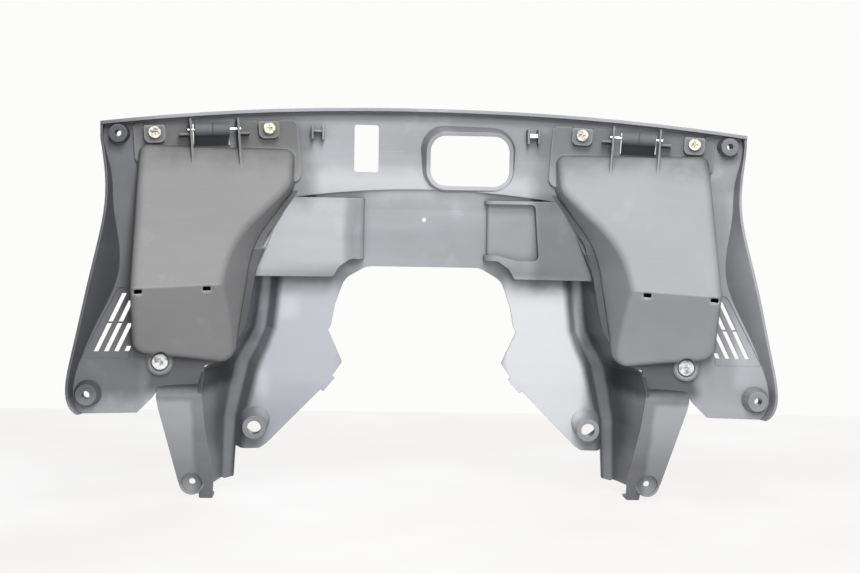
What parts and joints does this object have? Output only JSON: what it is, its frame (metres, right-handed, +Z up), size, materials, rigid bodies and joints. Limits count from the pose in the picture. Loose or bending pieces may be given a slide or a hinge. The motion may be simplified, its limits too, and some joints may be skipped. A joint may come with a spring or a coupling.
{
  "type": "scooter inner panel",
  "caption": "Moulded scooter inner leg shield panel with glove bins screwed to its hidden side, hinged glove lids, vents, wings and bolt-on flaps.",
  "frame": {"origin": "midway between the two upper bolt holes, on the plane of their boss seats", "axes": "+X to the right in the picture along the upper bolts, +Y toward the rider, +Z up"},
  "size_m": [0.598, 0.1193, 0.347],
  "materials": {
    "panel_plastic": "fine grained moulded grey",
    "bin_plastic": "fine grained moulded grey",
    "lid_plastic": "leather grained moulded grey",
    "pin_steel": "drawn steel",
    "screw_steel": "zinc plated",
    "washer_screw": "zinc plated, with a washer head",
    "clip_steel": "yellow zinc spring steel"
  },
  "bodies": {
    "panel": {"inner_panel": "panel_plastic", "left_glove_bin": "bin_plastic", "right_glove_bin": "bin_plastic", "left_hinge_pin": "pin_steel", "right_hinge_pin": "pin_steel", "upper_bin_screws": "screw_steel", "lower_bin_screws": "washer_screw", "panel_spring_clip": "clip_steel"},
    "left_lid": {"left_glove_lid": "lid_plastic"},
    "right_lid": {"right_glove_lid": "lid_plastic"}
  },
  "joints": [
    {"name": "left_lid_hinge", "type": "hinge", "parent": "panel", "child": "left_lid", "pos_m": [-0.186, 0.016, 0.006], "axis": [0.9793, 0.1939, 0.0576], "range_deg": [0, 55]},
    {"name": "right_lid_hinge", "type": "hinge", "parent": "panel", "child": "right_lid", "pos_m": [0.186, 0.016, 0.006], "axis": [0.9793, -0.1939, -0.0576], "range_deg": [0, 55]}
  ]
}
